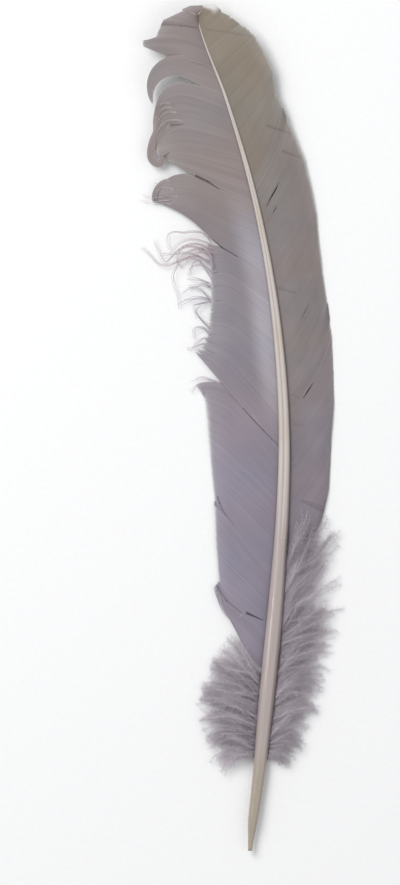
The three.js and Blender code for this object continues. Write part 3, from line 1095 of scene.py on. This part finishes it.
@dataclass
class Down:
    """One tuft of down: fine loose barbs with long barbules on both sides."""

    name: str
    node: str
    side: Side
    shaft: Shaft
    barbs: int
    guides: list[Guide]
    finish: DyedDown
    seed: int
    hooked: tuple[float, float] = (0.4, 1.0)
    steps: int = 16
    clump: int = 6
    clump_degrees: float = 16.0
    barb_degrees: float = 4.0
    stray: float = 0.88
    sway: float = 0.55
    root_out: float = -0.2
    # Each pair is the least and what chance may add: length as a share, level of the end, and how
    # high a barb arches.
    lengths: tuple[float, float] = (0.62, 0.42)
    end_level: tuple[float, float] = (0.5, 1.6)
    arch: tuple[float, float] = (0.4, 4.6)
    barb_widths: tuple[float, float] = (0.2, 0.07)
    clump_tone: float = 0.11
    barb_tone: float = 0.06
    stem_tone: float = 1.22
    # Barbules stand thirty to a millimetre. They are drawn fewer and thicker, so that they show.
    barbule_spacing: float = 0.22
    barbule_length: float = 2.8
    barbule_width: float = 0.065
    # Their usual lean off the barb in degrees, and how much it differs.
    barbule_lean: tuple[float, float] = (58.0, 22.0)

    def barb_line(self, share: float, lean: float, rng: np.random.Generator) -> np.ndarray:
        """Middle line of one barb.

        Args:
            share: where its root is, from 0 at the upper end of the tuft to 1 at the lower end.
            lean: how far the clump that it is part of leans outwards, in degrees.
            rng: source of the differences between barbs.

        Returns:
            Rows of X, Y and Z.
        """
        guide = guide_at(self.guides, share)
        plan = barb_plan(self.shaft, self.side, guide, self.hooked, self.steps, self.root_out)
        t = np.linspace(0, 1, self.steps + 1)
        turn = -self.side.value * math.radians(lean + self.barb_degrees * rng.normal())
        size = self.lengths[0] + self.lengths[1] * rng.random() ** 0.6
        spun = (plan[:, 0] - plan[0, 0]) + 1j * (plan[:, 1] - plan[0, 1])
        spun = spun * size * complex(math.cos(turn), math.sin(turn))
        plan = np.stack([spun.real, spun.imag], 1) + plan[0]
        across = headings(plan)[1]
        sway = (rng.normal() * np.sin(2.2 * np.pi * t + PHASES * rng.random())
                + 0.5 * rng.normal() * np.sin(5.1 * np.pi * t + PHASES * rng.random()))
        stray = self.stray * rng.normal() * t ** 2
        plan = plan + across * (self.sway * sway * t ** 0.7 + stray)[:, None]
        end = self.end_level[0] + self.end_level[1] * rng.random()
        arch = self.arch[0] + self.arch[1] * rng.random() ** 1.3
        level = float(self.shaft.root_z(guide.root)) * (1 - t) + end * t
        z = self.shaft.rise(plan[:, 1]) + level + arch * np.sin(np.pi * t ** 0.8)
        return np.column_stack([plan, np.maximum(z, 0.2)])

    def add_barbules(self, maker: MeshMaker, line: np.ndarray, tone: float,
                     rng: np.random.Generator) -> None:
        """Add the barbules of one barb, as long slim points on both sides of it.

        Args:
            maker: the mesh under construction.
            line: the barb's middle line.
            tone: how pale it is.
            rng: source of the differences between barbules.
        """
        length = float(np.linalg.norm(np.diff(line, axis=0), axis=1).sum())
        count = int(length / self.barbule_spacing)
        place = (np.arange(count) + rng.random(count)) / count
        share = np.linspace(0, 1, len(line))
        foot = np.stack([np.interp(place, share, column) for column in line.T], 1)
        run = np.stack([np.interp(place, share, np.gradient(column)) for column in line.T], 1)
        run /= np.linalg.norm(run, axis=1, keepdims=True)
        across = np.stack([-run[:, 1], run[:, 0], np.zeros(count)], 1)
        for flank in (-1, 1):
            lean = np.radians(rng.normal(*self.barbule_lean, count))[:, None]
            reach = self.barbule_length * (0.4 + 0.8 * rng.random((count, 1)))
            reach = reach * (0.4 + 0.6 * np.sin(np.pi * np.clip(place, 0.08, 0.9))[:, None])
            up = np.array([[0.0, 0.0, 1.0]]) * rng.normal(0.05, 0.4, (count, 1))
            tip = foot + reach * (run * np.cos(lean) + flank * across * np.sin(lean) + up)
            half = run * (self.barbule_width / 2) * flank
            corners = np.stack([foot + half, foot - half, tip], 1)
            corners[:, :, 2] = np.maximum(corners[:, :, 2], 0.05)
            faces = np.array([[0, 2, 1, 1]]) + 3 * np.arange(count)[:, None]
            values = np.stack([np.repeat(place, 3), np.full(3 * count, tone)], 1)
            maker.add(corners.reshape(-1, 3), faces, values)

    def build(self) -> bpy.types.Object:
        """Build the tuft.

        Returns:
            All its barbs and barbules as one mesh, riding on the feather's body.
        """
        rng = np.random.default_rng(self.seed)
        maker = MeshMaker(("share", "tone"))
        share = np.linspace(0, 1, self.steps + 1)
        lean, clump_tone = 0.0, 1.0
        for barb in range(self.barbs):
            if barb % self.clump == 0:
                lean = self.clump_degrees * rng.normal()
                clump_tone = 1 + self.clump_tone * rng.normal()
            line = self.barb_line((barb + rng.random()) / self.barbs, lean, rng)
            tone = clump_tone + self.barb_tone * rng.normal()
            width = np.linspace(*self.barb_widths, len(line))
            values = np.stack([share, np.full(len(line), self.stem_tone * tone)], 1)
            maker.add(ribbon(line, width, width, 0.0), ribbon_faces(len(line)),
                      np.repeat(values, 4, axis=0))
            self.add_barbules(maker, line, tone, rng)
        return maker.finish(self.name, self.node, Slot.DOWN, self.shaft.origin(),
                            self.finish.material())


# ---------------------------------------------------------------- the whole


@dataclass
class Feather:
    """The feather: a shaft, two vanes and two tufts of down."""

    shaft: Shaft = field(default_factory=Shaft)

    def left_vane(self) -> Vane:
        """The wide vane, torn into lobes, with its loose strands.

        Returns:
            The vane, ready to build.
        """
        lobes = [
            lobe(0.9, (1, 1), (0.5, 1), 0.12, (300.8, -16.8, 305, 0, 0), (299.5, -21.7, 304.4, 10, 0),
                 (298.2, -24.1, 303, 12, 0), (296.3, -31.1, 299.2, 20, 0)),
            lobe(0.1, (1, 0.5), (0.5, 1), 0.1, (295.3, -32.3, 297.3, 28, 0),
                 (290.9, -34.1, 293.3, 26, 0), (288.8, -38.9, 291.6, 28, 0),
                 (286.6, -38.6, 290, 24, 0), (281.9, -30.2, 286.1, 18, 0)),
            lobe(1.6, (0.19, 0.19), (0.33, 1.11), 0.05, (281.2, -35.6, 269.7, 121, 47),
                 (277.2, -35.4, 269.5, 44, 100), (273.2, -35.2, 269.6, -35, 152)),
            lobe(0.4, (1, 1), (0.4, 0.84), 0.08, (272, -35.1, 262.4, 61, 56),
                 (266.7, -35, 259.1, 30, 78), (261.7, -34.8, 255.9, 12, 72),
                 (257, -33.9, 255.9, 12, 56)),
            lobe(1.2, (0.38, 0.38), (0.5, 1), 0.08, (256.1, -33.6, 255.3, 14, 56),
                 (250.1, -34.4, 252.3, 12, 24), (242.1, -33, 250.1, 0, 12),
                 (234.5, -30.5, 249.3, -14, 3)),
            lobe(0.1, (0.24, 0.45), (0.5, 1), 0.08, (233.5, -34.7, 237.4, 5, 74),
                 (227, -35.7, 235.6, 12, 34), (218.3, -35.5, 234.9, -8, 28),
                 (207.8, -35.3, 234.7, -38, 40)),
            lobe(0.8, (0.64, 0.73), (0.6, 1), 0.16, (206.6, -15.5, 219, 2, 24),
                 (198, -14.1, 208.9, 2, 50), (184.3, -14.1, 198, 4, 45),
                 (169.9, -15, 187.6, 8, 34), (157.2, -17, 181.4, 6, 30),
                 (144.9, -19.9, 179.8, 0, 2)),
            lobe(0.0, (1, 1), (0.6, 1), 0.08, (143.8, -19.5, 168.4, 20, 50),
                 (137.3, -16.3, 162.6, 6, 30), (128.3, -15.2, 151.8, 2, 10),
                 (115.6, -14.2, 139.1, 0, 0), (100.8, -12.8, 126.6, -4, -6)),
            lobe(0.7, (1, 1), (0.6, 1), 0.08, (99.4, -12.9, 124.7, -4, 6),
                 (90.3, -12.3, 110.2, 0, -6), (83.8, -11.6, 101.6, 12, -20),
                 (79.9, -11.1, 97.4, 26, -34)),
            lobe(0.0, (0, 0), (0.6, 1), 0.08, (77.3, -12.5, 95.6, 36, -33),
                 (71.6, -10.3, 88.9, 4, -20), (65.8, -5.6, 81.3, -18, -10)),
        ]
        marks = (
            mark((0.9, 0.5), 0.25, (-32.2, 297.8), (-25, 297.2), (-19.2, 296.5)),
            mark((0.5, 0.3), -0.1, (-25.3, 279.2), (-20.6, 278), (-15.5, 275.4)),
            mark((1.0, 0.3), 0.4, (-28.4, 261.7), (-24.2, 262)),
            mark((0.3, 0.5), 0.4, (-33.7, 256.6), (-34.1, 252.8)),
            mark((1.2, 0.4), 0.4, (-30.6, 250.6), (-29.2, 251.8)),
            mark((0.9, 0.25), 0.65, (-19.5, 243.4), (-15.2, 241.4), (-11.2, 238.7)),
            mark((0.6, 0.25), 0.7, (-13.7, 220.5), (-10.1, 217.6), (-4.6, 214.3)),
            # A broad pale patch on the end of the sixth lobe: painted light that lifts the shade on
            # its steeply turned barbs.
            mark((5, 7), -0.05, (-31.5, 239), (-23, 233)),
            mark((0.25, 0.4), 0.14, (-28.7, 242.3), (-28.2, 240), (-26.6, 238.2)),
            mark((0.3, 0.4), 0.25, (-32, 236.1), (-27.1, 236.2)),
            mark((0.25, 0.35), 0.65, (-2.6, 159.7), (0.5, 156.2), (4.7, 151.8)),
            mark((0.35, 0.2), 0.65, (4.7, 151.8), (7.7, 148.6), (10.1, 146.4)),
            mark((0.7, 0.3), 0.5, (-11.7, 127.6), (-11, 125.4), (-10.1, 123.2), (-8.7, 121.1)),
            mark((0.4, 0.2), 0.2, (-8.7, 121.1), (-5.8, 117.5)),
            mark((1.2, 0.5), 0.3, (-11.9, 95), (-8.5, 90.2), (-3.3, 86)),
            mark((0.9, 0.25), 0.75, (-1.1, 85.7), (4.7, 83.1)),
        )
        # The pale colour at the shaft is a painted sheen.
        finish = DyedBarbs("wide_vane_barbs_dip_dyed", foot="#8F8895", middle="#8B8489",
                           tip="#918886", painted_light_at_shaft="#B1ABB2", seam=0.22,
                           upper=(195.0, 245.0, 0.0, 1.0), marks=marks)
        return Vane("wide_vane_barbs", "left_vane", Slot.WIDE_VANE, Side.LEFT, self.shaft,
                    lobes, self.loose_strands(), [], finish, seed=7, worn_foot=0.25)

    def loose_strands(self) -> list[Strand]:
        """The rolled edge of the fourth lobe, and the fine barbs that stand loose.

        Returns:
            The strands of the wide vane.
        """
        curls = dict(start_z=2.05, end_z=2.1, tone=1.22)
        hairs = dict(width=0.3, start_z=1.5, end_z=0.8)
        arcs = dict(width=0.25, start_z=2.4, end_z=2.4, tone=1.7)
        return [
            Strand(3.3, 2.9, -0.2, 14, (
                (-27.5, 267.6), (-31, 266.6), (-32.9, 263.2), (-33.4, 259.2), (-34.9, 255.6),
                (-35.6, 252), (-35.2, 249.4), (-33.4, 248), (-31.9, 248.9), (-31.4, 250.8)),
                start_z=1.5, end_z=2.5),
            Strand(5.2, 4.6, 0.3, 18, ((-29.6, 265.5), (-31, 261.5), (-31.8, 257.5),
                                       (-31.9, 253)), start_z=1.3, end_z=1.3),
            wisp(2.2, (-14.1, 219.4), (-15.5, 221.5), (-17, 222.8), (-19.2, 223.3), (-21.7, 223.3),
                 (-23.9, 223), (-26.7, 223.2), (-28.9, 222.6), (-29.6, 220.8), (-29.3, 218.3),
                 (-28.2, 216.1)),
            wisp(1.6, (-13, 217.9), (-15.5, 219.4), (-20.6, 220.5), (-26, 219), (-29.6, 214.3)),
            wisp(2.4, (-12.6, 216.8), (-15.2, 217.9), (-18.4, 217.2), (-17, 216.1), (-15.2, 216.5)),
            wisp(1.9, (-13.4, 215.4), (-18.1, 217.2), (-22.8, 215.8), (-26.4, 212.5),
                 (-28.2, 212.5)),
            wisp(2.6, (-13.7, 213.9), (-17.7, 216.1), (-22, 214.3), (-22.8, 211.1)),
            wisp(2.0, (-12.9, 213.9), (-17, 216.8), (-20.2, 217.9), (-23.1, 217.9), (-26, 216.5),
                 (-28.2, 214.3), (-30, 212.5), (-31.4, 212.9), (-33.2, 216.8), (-34.7, 220.5)),
            wisp(1.5, (-12.9, 210.4), (-15.5, 212.5), (-18.4, 214.3), (-21.7, 214.3),
                 (-24.9, 213.2), (-27.8, 211.8), (-30.7, 211.1), (-33.2, 211.8), (-35.4, 214.3),
                 (-37.6, 216.8), (-39.4, 217.9)),
            wisp(1.2, (-14.8, 212.5), (-21, 215.4), (-26.7, 215.4), (-32.5, 215.4)),
            wisp(2.8, (-13, 212.5), (-15.5, 215.9), (-18.8, 215.4), (-19.2, 213.9)),
            wisp(2.2, (-13.4, 209.6), (-14.1, 212.5), (-16.6, 215.4)),
            wisp(1.8, (-12.9, 204.6), (-15.2, 208.5), (-17, 211.4), (-18.4, 212.9), (-20.6, 213.6),
                 (-23.1, 213.6), (-25.3, 212.5), (-26.7, 210.3), (-27.8, 207.4), (-27.1, 203.8),
                 (-25.7, 199.5), (-25.3, 194.4)),
            wisp(2.3, (-13, 215.8), (-17.2, 218.4), (-21, 218.9), (-24.6, 217.4), (-26.2, 214.6),
                 (-25.8, 211.8), (-23.8, 210.6)),
            wisp(2.6, (-13.2, 212.2), (-16.4, 213.3), (-19.8, 212.6), (-21.3, 210), (-20.4, 207.8)),
            wisp(1.4, (-13.3, 207.8), (-15.8, 210.6), (-18.9, 211.4), (-21.6, 209.6), (-22, 207)),
            wisp(1.2, (-14.5, 204.6), (-18.8, 206.2), (-23.1, 206)),
            wisp(1.2, (-14.2, 203.4), (-17.3, 204.2), (-22.4, 202.9), width=0.8),
            wisp(1.4, (-14.6, 198.7), (-17.3, 202), (-21.3, 203.1), (-25.3, 200.2)),
            wisp(1.0, (-14.2, 198.8), (-19.5, 199.5), (-26.4, 197.3), width=0.8),
            wisp(1.8, (-14.4, 198.1), (-19.2, 197.1), (-20.2, 195.9), (-19.2, 191.9)),
            wisp(2.2, (-14.3, 188.1), (-18.4, 192.6), (-19.5, 195.2), (-17, 197), (-15.2, 196.6)),
            wisp(1.2, (-14.2, 186), (-17, 188.7), (-19.9, 187.9), (-20.2, 183.2), width=0.7),
            wisp(1.2, (-14.5, 184), (-16.6, 184.9), (-19.5, 182.9), (-20.6, 180.7)),
            wisp(0.9, (-14.8, 182.1), (-17.3, 182.9), (-21, 181.1), (-23.1, 181.4)),
            wisp(0.8, (-10.1, 168.4), (-17, 170.6), (-21.3, 168.8)),
            wisp(1.2, (-16.4, 163.8), (-18.8, 167.7), (-21.7, 164.8), start_z=0.3),
            Strand(2.0, 1.7, 0.15, 8, (
                (-27.2, 241), (-30.7, 241.2), (-33.1, 239.4), (-34.3, 237.1), (-34.6, 234.7)),
                start_z=1.2, end_z=0.9, tone=1.02),
            wisp(0.3, (-26.7, 242.1), (-29.6, 241.8), (-32.5, 240.7), (-35.1, 240.7), **hairs),
            wisp(0.25, (-27.1, 238.5), (-30.7, 239.2), (-33.6, 238.2), (-35.4, 234.2), **hairs),
            wisp(0.25, (-26, 236), (-29.6, 236.2), (-35.4, 235.6), (-39.4, 236.7), **hairs),
            wisp(0.1, (-28.9, 234.7), (-32.5, 234.5), (-36.1, 233.8), (-39.8, 235.1), **hairs),
            wisp(0.1, (-28.2, 233.1), (-31.4, 233.6), (-35.4, 232.9), **hairs),
            wisp(0.1, (-18.9, 301), (-17.7, 302.5), (-16.3, 303.8), **arcs),
            wisp(0.1, (-19.5, 300.9), (-21.7, 302.1), (-24.6, 302.6), **arcs),
            Strand(1.4, 0.7, 0.3, 4, (
                (-12.4, 95.6), (-11.6, 92.2), (-10.5, 88.9), (-8.7, 85.7), (-6.1, 82.8),
                (-3.6, 80.6)), start_z=1.3, end_z=1.7, tone=1.14),
            wisp(0.4, (-2, 86), (-4.2, 83.5), (-5.2, 79.5), width=0.25, start_z=2.6, end_z=2.2),
            wisp(0.3, (-28.6, 269.6), (-31.1, 269.6), (-33.3, 268.1), (-34.2, 265.9), **curls),
            wisp(0.3, (-27.8, 267.9), (-30.7, 267.8), (-32.9, 266.1), (-34, 263.5), **curls),
            wisp(0.3, (-26, 266.1), (-29.6, 266.3), (-32.2, 264.3), (-33.6, 261.3), **curls),
            wisp(0.3, (-23.5, 263), (-28.2, 263.5), (-31.4, 261.8), (-33.2, 258.9),
                 (-34, 256.4), **curls),
        ]

    def right_vane(self) -> Vane:
        """The narrow vane, whose barbs sweep along the shaft.

        Returns:
            The vane, ready to build.
        """
        lobes = [
            lobe(0.6, (1, 1), (0.5, 1), 0.12, (300.8, -16.4, 305, 0, 0),
                 (298.5, -11.9, 304.5, 4, 0), (296, -10.1, 302.3, 6, 0), (292, -6.5, 300.1, 6, 0)),
            lobe(0.6, (1, 1), (0.5, 1), 0.08, (288.4, -3.6, 297.8, 4, 0), (284.8, -0.5, 296, 0, 0),
                 (278.3, 2.5, 292.4, -4, 0), (269.2, 5.8, 286.6, -8, -4),
                 (260.2, 8.1, 281.2, -12, -6), (251.2, 9, 273.9, -14, -8),
                 (242.1, 11.6, 268.2, -16, -8)),
            lobe(0.2, (1, 1), (0.5, 1), 0.06, (238, 13, 264.6, -16, -8),
                 (222.3, 19.2, 250.1, -16, -10), (211.4, 21.7, 240.3, -16, -10),
                 (200.6, 23.9, 229.9, -16, -10), (189.7, 24.8, 219.4, -16, -10),
                 (178.9, 26, 208.9, -16, -10), (168.1, 27.8, 198, -16, -10)),
            lobe(0.0, (0, 0), (0.5, 1), 0.06, (163, 28.6, 192, -16, -10),
                 (157.2, 29.5, 185.4, -16, -10), (146.4, 30.2, 172.7, -16, -10),
                 (135.5, 30.4, 161.9, -16, -10), (124.7, 29.5, 151.1, -16, -10),
                 (113.8, 29.1, 140.2, -16, -10), (104.8, 28.6, 131.2, -14, -10),
                 (97.6, 26.9, 123.6, -14, -10)),
        ]
        slits = [Slit(229.7, 0.1, 0.48, 0.8), Slit(225.3, 0.14, 0.34, 0.5),
                 Slit(156.5, 0.22, 0.52, 0.6), Slit(181.5, 0.25, 0.68, 0.3)]
        marks = (
            mark((0.5, 0.3), 0.4, (6.1, 232.7), (10.4, 241.2)),
            mark((0.4, 0.4), 0.35, (19.2, 163.4), (22.6, 168.6)),
            mark((0.7, 0.9), 0.12, (-15.9, 296), (1.4, 293.4)),
            mark((1.1, 0.5), 0.2, (6.4, 261.4), (14.8, 258.6)),
            mark((0.9, 0.6), 0.22, (11.9, 252.3), (18.4, 250.1)),
            mark((1.3, 0.6), 0.16, (10.2, 203.1), (16.4, 201.2)),
            mark((0.9, 0.4), 0.12, (14.5, 164.6), (18.1, 163.6)),
            mark((0.9, 0.4), 0.12, (15.9, 154), (19.9, 153.2)),
            mark((0.9, 1.3), 0.2, (19, 126.1), (25.7, 122.9)),
            mark((0.3, 0.5), 0.2, (20, 126.4), (26, 124.2)),
            mark((8, 9), 0.06, (5, 260), (9, 246)),
            mark((8, 8), -0.05, (23, 158), (24, 148)),
        )
        # The paler colour at the shaft is painted light against the shaft's shadow.
        finish = DyedBarbs("narrow_vane_barbs_dip_dyed", foot="#888088", middle="#857D7B",
                           tip="#8D8477", painted_light_at_shaft="#8D8584", blotch_mm=12.0, marks=marks)
        return Vane("narrow_vane_barbs", "right_vane", Slot.NARROW_VANE, Side.RIGHT, self.shaft,
                    lobes, [], slits, finish, seed=11, worn_tip=0.9)

    def tufts(self) -> list[Down]:
        """The two tufts of down at the foot of the vanes.

        Returns:
            The left tuft and the right one, ready to build.
        """
        right = [Guide(*row) for row in (
            (104, 25.4, 124, -12, -8), (94, 26, 115, -12, -8), (86, 27, 104, -8, 0),
            (76, 28, 90, -4, 8), (66, 27.2, 76, 0, 18), (56, 26, 62, 4, 28),
            (46, 23.6, 48.5, 8, 38), (38, 19, 37.5, 10, 46), (33, 13, 29.5, 12, 50))]
        left = [Guide(*row) for row in (
            (64, -9.4, 76, -4, 8), (57, -14.8, 66, 0, 18), (51, -17.8, 57, 4, 28),
            (44, -18, 47.4, 8, 36), (38, -15.6, 38.4, 10, 44), (33, -9, 30.4, 12, 50))]
        finish = DyedDown()
        return [
            Down("wide_side_down", "left_down", Side.LEFT, self.shaft, 240, left, finish, seed=3),
            Down("narrow_side_down", "right_down", Side.RIGHT, self.shaft, 340, right, finish,
                 seed=5),
        ]

    def build(self) -> list[bpy.types.Object]:
        """Build every piece of the feather.

        Returns:
            The pieces, the shaft first.
        """
        pieces = [self.shaft.build(), self.left_vane().build(), self.right_vane().build()]
        return pieces + [tuft.build() for tuft in self.tufts()]


@dataclass(frozen=True)
class Lamp:
    """A soft square lamp aimed at the middle of the feather. Metres and watts."""

    name: str
    place: tuple[float, float, float]
    size: float
    watts: float

    def hang(self) -> None:
        """Hang the lamp in its place."""
        light = bpy.data.lights.new(self.name, "AREA")
        light.size, light.energy = self.size, self.watts
        lamp = placed(self.name, light)
        lamp.location = self.place
        lamp.rotation_euler = (-Vector(self.place)).to_track_quat("-Z", "Y").to_euler()


@dataclass(frozen=True)
class Table:
    """The table top in metres, the studio light, and the camera straight above, with its lens, its
    sensor and the size of one pixel in millimetres."""

    reach: float = 1.6
    drop: float = 0.0001
    surround: str = "#F4F5F7"
    surround_strength: float = 0.52
    lamps: tuple[Lamp, ...] = (
        Lamp("key_lamp", (-0.65, 0.6, 1.15), 0.8, 13.1),
        Lamp("edge_lamp", (-0.55, -0.05, 1.2), 0.12, 0.7),
        Lamp("fill_lamp", (0.9, -0.5, 1.3), 1.2, 3.0),
    )
    pixel: float = 0.3614
    render_size: tuple[int, int] = (400, 885)
    shaft_foot_pixel: tuple[float, float] = (250.0, 850.0)
    lens: float = 200.0
    sensor: float = 36.0
    clipping: tuple[float, float] = (0.01, 10.0)

    def floor(self) -> None:
        """Lay the table top, a wide flat board just under the feather."""
        mesh = bpy.data.meshes.new("table_top")
        corners = [(x * self.reach, y * self.reach, -self.drop)
                   for x, y in ((-1, -1), (1, -1), (1, 1), (-1, 1))]
        mesh.from_pydata(corners, [], [(0, 1, 2, 3)])
        mesh.materials.append(MattBoard().material())
        board = placed("table_top", mesh)

    def world(self) -> None:
        """Surround the table with an even pale light."""
        world = bpy.data.worlds.new("studio_surround")
        world.use_nodes = True
        background = world.node_tree.nodes["Background"]
        background.inputs["Color"].default_value = linear(self.surround)
        background.inputs["Strength"].default_value = self.surround_strength
        bpy.context.scene.world = world

    def camera(self, origin: Vector) -> None:
        """Hang the camera straight above, framing the feather as it is to be shown.

        Args:
            origin: place of the feather's own zero in the frame.
        """
        lens = bpy.data.cameras.new("camera_above")
        lens.lens, lens.sensor_width = self.lens, self.sensor
        lens.clip_start, lens.clip_end = self.clipping
        width, height = self.render_size
        foot_x, foot_y = self.shaft_foot_pixel
        camera = placed("camera_above", lens)
        camera.location = (origin.x + (width / 2 - foot_x) * self.pixel * MM,
                           origin.y + (foot_y - height / 2) * self.pixel * MM,
                           height * self.pixel * MM * self.lens / self.sensor)
        bpy.context.scene.camera = camera

    def build(self, origin: Vector) -> None:
        """Set the stage around the feather.

        Args:
            origin: place of the feather's own zero in the frame.
        """
        self.floor()
        self.world()
        for lamp in self.lamps:
            lamp.hang()
        self.camera(origin)
        bpy.context.scene.view_settings.view_transform = "Standard"


def main() -> None:
    """Build the feather, then its table, light and camera, and note the sizes."""
    feather = Feather()
    for piece in feather.build():
        log.info("%s: %d points", piece.name, len(piece.data.vertices))
    Table().build(feather.shaft.origin())


if __name__ == "__main__":
    main()
